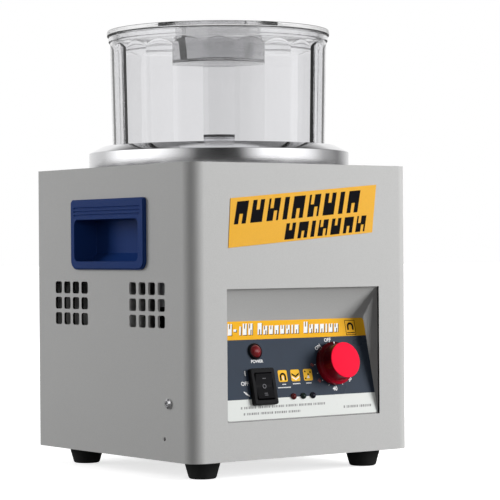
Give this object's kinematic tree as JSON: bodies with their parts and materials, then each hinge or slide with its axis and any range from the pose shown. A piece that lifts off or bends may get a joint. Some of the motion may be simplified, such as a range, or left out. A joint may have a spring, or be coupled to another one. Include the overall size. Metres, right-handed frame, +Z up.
{
  "type": "magnetic pin tumbler",
  "caption": "Benchtop magnetic pin tumbler: square sheet-metal cabinet, clear faceted bowl in a metal collar, sloped control recess, side pocket handles and rubber feet.",
  "frame": {"origin": "on the floor under the middle of the footprint", "axes": "+Z up, the control panel faces -Y, +X to the machine's right as seen from the front"},
  "size_m": [0.2366, 0.2505, 0.3782],
  "materials": {
    "cabinet_paint": "fine textured powder coat",
    "steel": "plain",
    "collar_metal": "turned and polished",
    "motor_metal": "cast",
    "overlay_film": "printed film",
    "label_film": "printed film",
    "handle_plastic": "satin",
    "black_plastic": "satin",
    "pale_plastic": "plain",
    "knob_plastic": "gloss",
    "lens_plastic": "gloss",
    "clear_plastic": "clear moulded plastic",
    "rubber": "matt",
    "copper_wire": "enamelled winding",
    "magnet": "nickel plated",
    "fuse_glass": "clear"
  },
  "bodies": {
    "cabinet": {"housing_wrap": "cabinet_paint", "top_plate": "cabinet_paint", "base_plate": "steel", "back_panel": "cabinet_paint", "control_recess": "cabinet_paint", "panel_overlay": "overlay_film", "front_label": "label_film", "handle_left": "handle_plastic", "handle_right": "handle_plastic", "collar_ring": "collar_metal", "deck_plate": "black_plastic", "lamp_bezel": "black_plastic", "lamp_lens": "lens_plastic", "rocker_frame": "black_plastic", "timer_body": "pale_plastic", "timer_nut": "steel", "indicator_domes": "lens_plastic", "motor_plate": "steel", "plate_spacers": "steel", "collar_studs": "steel", "stud_nuts": "steel", "motor_bells": "motor_metal", "stator_core": "steel", "stator_windings": "copper_wire", "motor_bearings": "steel", "fan_frame": "black_plastic", "fan_guard": "steel", "run_capacitor": "pale_plastic", "capacitor_clip": "steel", "terminal_block": "pale_plastic", "inner_wires": "black_plastic", "inlet_socket": "black_plastic", "inlet_pins": "steel", "rubber_feet": "rubber", "foot_screws": "steel", "side_screws": "steel", "back_screws": "steel"},
    "bowl": {"bowl": "clear_plastic"},
    "lid": {"lid": "clear_plastic"},
    "timer": {"timer_knob": "knob_plastic", "timer_shaft": "steel"},
    "rocker": {"rocker_paddle": "black_plastic"},
    "spinner": {"motor_shaft": "steel", "rotor_core": "steel", "magnet_disc": "motor_metal", "magnets_north": "magnet", "magnets_south": "magnet"},
    "fan": {"fan_impeller": "black_plastic"},
    "fuse_holder": {"fuse_drawer": "black_plastic", "fuse_link": "fuse_glass"}
  },
  "joints": [
    {"name": "bowl_lift", "type": "slide", "parent": "cabinet", "child": "bowl", "axis": [0, 0, 1], "range_m": [0, 0.12]},
    {"name": "lid_lift", "type": "slide", "parent": "bowl", "child": "lid", "axis": [0, 0, 1], "range_m": [0, 0.06]},
    {"name": "timer_turn", "type": "hinge", "parent": "cabinet", "child": "timer", "pos_m": [0.0385, -0.10591, 0.08973], "axis": [0, -0.9736, 0.2283], "range_deg": [-270, 42]},
    {"name": "switch_rock", "type": "hinge", "parent": "cabinet", "child": "rocker", "pos_m": [-0.0394, -0.11123, 0.07403], "axis": [1, 0, 0], "range_deg": [-12, 12]},
    {"name": "motor_spin", "type": "hinge", "parent": "cabinet", "child": "spinner", "pos_m": [0, 0.003, 0.2], "axis": [0, 0, 1], "continuous": true},
    {"name": "fan_spin", "type": "hinge", "parent": "cabinet", "child": "fan", "pos_m": [0.052, 0.1, 0.15], "axis": [0, 1, 0], "continuous": true},
    {"name": "fuse_pull", "type": "slide", "parent": "cabinet", "child": "fuse_holder", "axis": [0, 1, 0], "range_m": [0, 0.03]}
  ]
}
